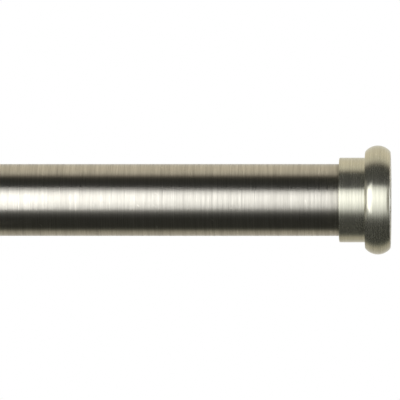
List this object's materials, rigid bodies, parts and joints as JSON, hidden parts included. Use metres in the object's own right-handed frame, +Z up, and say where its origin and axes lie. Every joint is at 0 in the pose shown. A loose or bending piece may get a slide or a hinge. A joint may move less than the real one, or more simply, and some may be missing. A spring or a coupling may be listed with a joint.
{
  "type": "curtain rod",
  "caption": "Telescoping curtain rod in brushed nickel with flat bun-shaped end caps, resting in open cups on adjustable wall brackets with clamp screws.",
  "frame": {"origin": "on the wall surface, midway between the right bracket's two wall screws and level with its arm", "axes": "+X along the rod to its right end, +Y into the wall, +Z up; the room is on the -Y side"},
  "size_m": [0.63, 0.1382, 0.0816],
  "materials": {
    "nickel_tube": "brushed nickel plate with fine streaks around the tube, under clear lacquer",
    "nickel_casting": "satin nickel plate on a turned or cast piece",
    "zinc_screw": "zinc-plated steel, semi-bright",
    "white_nylon": "natural nylon, faintly translucent, moulded",
    "grey_nylon": "grey nylon, moulded, matte"
  },
  "bodies": {
    "right_bracket": {"wall_plate_right": "nickel_casting", "wall_screws_right": "zinc_screw", "arm_sleeve_right": "nickel_casting", "sleeve_bolt_right": "zinc_screw"},
    "left_bracket": {"wall_plate_left": "nickel_casting", "wall_screws_left": "zinc_screw", "arm_sleeve_left": "nickel_casting", "sleeve_bolt_left": "zinc_screw"},
    "right_arm": {"arm_rod_right": "nickel_tube", "rod_cup_right": "nickel_casting"},
    "left_arm": {"arm_rod_left": "nickel_tube", "rod_cup_left": "nickel_casting"},
    "outer_rod": {"outer_tube": "nickel_tube", "mouth_bush": "grey_nylon"},
    "inner_rod": {"inner_tube": "nickel_tube", "glide_bush": "white_nylon", "reducer_sleeve": "grey_nylon"},
    "right_cap": {"end_cap_right": "nickel_casting", "cap_plug_right": "white_nylon", "cap_plug_screw_right": "zinc_screw"},
    "left_cap": {"end_cap_left": "nickel_casting", "cap_plug_left": "white_nylon", "cap_plug_screw_left": "zinc_screw"},
    "right_cup_pad": {"cup_pad_right": "white_nylon"},
    "right_cup_thumb_screw": {"cup_screw_right": "zinc_screw", "cup_knob_right": "nickel_casting"},
    "right_arm_pad": {"arm_pad_right": "white_nylon"},
    "right_arm_thumb_screw": {"arm_screw_right": "zinc_screw", "arm_knob_right": "nickel_casting"},
    "left_cup_pad": {"cup_pad_left": "white_nylon"},
    "left_cup_thumb_screw": {"cup_screw_left": "zinc_screw", "cup_knob_left": "nickel_casting"},
    "left_arm_pad": {"arm_pad_left": "white_nylon"},
    "left_arm_thumb_screw": {"arm_screw_left": "zinc_screw", "arm_knob_left": "nickel_casting"}
  },
  "joints": [
    {"name": "right_arm_slide", "type": "slide", "parent": "right_bracket", "child": "right_arm", "axis": [0, -1, 0], "range_m": [0, 0.025]},
    {"name": "rod_lift", "type": "slide", "parent": "right_arm", "child": "outer_rod", "axis": [0, 0, 1], "range_m": [0, 0.04]},
    {"name": "rod_telescope", "type": "slide", "parent": "outer_rod", "child": "inner_rod", "axis": [-1, 0, 0], "range_m": [-0.11, 0.101]},
    {"name": "right_cap_pull", "type": "slide", "parent": "outer_rod", "child": "right_cap", "axis": [1, 0, 0], "range_m": [0, 0.035]},
    {"name": "left_cap_pull", "type": "slide", "parent": "inner_rod", "child": "left_cap", "axis": [-1, 0, 0], "range_m": [0, 0.035]},
    {"name": "left_bracket_place", "type": "slide", "parent": "right_bracket", "child": "left_bracket", "axis": [-1, 0, 0], "range_m": [-0.015, 0.101]},
    {"name": "left_arm_slide", "type": "slide", "parent": "left_bracket", "child": "left_arm", "axis": [0, -1, 0], "range_m": [0, 0.025]},
    {"name": "right_cup_pad_lift", "type": "slide", "parent": "right_arm", "child": "right_cup_pad", "axis": [0, 0, 1], "range_m": [-0.0022, 0]},
    {"name": "right_cup_screw_turn", "type": "hinge", "parent": "right_cup_pad", "child": "right_cup_thumb_screw", "pos_m": [0, -0.089, 0], "axis": [0, 0, 1], "range_deg": [-1080, 0]},
    {"name": "right_arm_pad_lift", "type": "slide", "parent": "right_bracket", "child": "right_arm_pad", "axis": [0, 0, 1], "range_m": [-0.0022, 0]},
    {"name": "right_arm_screw_turn", "type": "hinge", "parent": "right_arm_pad", "child": "right_arm_thumb_screw", "pos_m": [0, -0.047, 0], "axis": [0, 0, 1], "range_deg": [-1080, 0]},
    {"name": "left_cup_pad_lift", "type": "slide", "parent": "left_arm", "child": "left_cup_pad", "axis": [0, 0, 1], "range_m": [-0.0022, 0]},
    {"name": "left_cup_screw_turn", "type": "hinge", "parent": "left_cup_pad", "child": "left_cup_thumb_screw", "pos_m": [-0.314, -0.089, 0], "axis": [0, 0, 1], "range_deg": [-1080, 0]},
    {"name": "left_arm_pad_lift", "type": "slide", "parent": "left_bracket", "child": "left_arm_pad", "axis": [0, 0, 1], "range_m": [-0.0022, 0]},
    {"name": "left_arm_screw_turn", "type": "hinge", "parent": "left_arm_pad", "child": "left_arm_thumb_screw", "pos_m": [-0.314, -0.047, 0], "axis": [0, 0, 1], "range_deg": [-1080, 0]}
  ],
  "couplings": [
    {"joint": "left_arm_slide", "follows": "right_arm_slide", "ratio": 1},
    {"joint": "right_cup_pad_lift", "follows": "right_cup_screw_turn", "m_per_rad": 0.00011141},
    {"joint": "right_arm_pad_lift", "follows": "right_arm_screw_turn", "m_per_rad": 0.00011141},
    {"joint": "left_cup_pad_lift", "follows": "left_cup_screw_turn", "m_per_rad": 0.00011141},
    {"joint": "left_arm_pad_lift", "follows": "left_arm_screw_turn", "m_per_rad": 0.00011141}
  ]
}
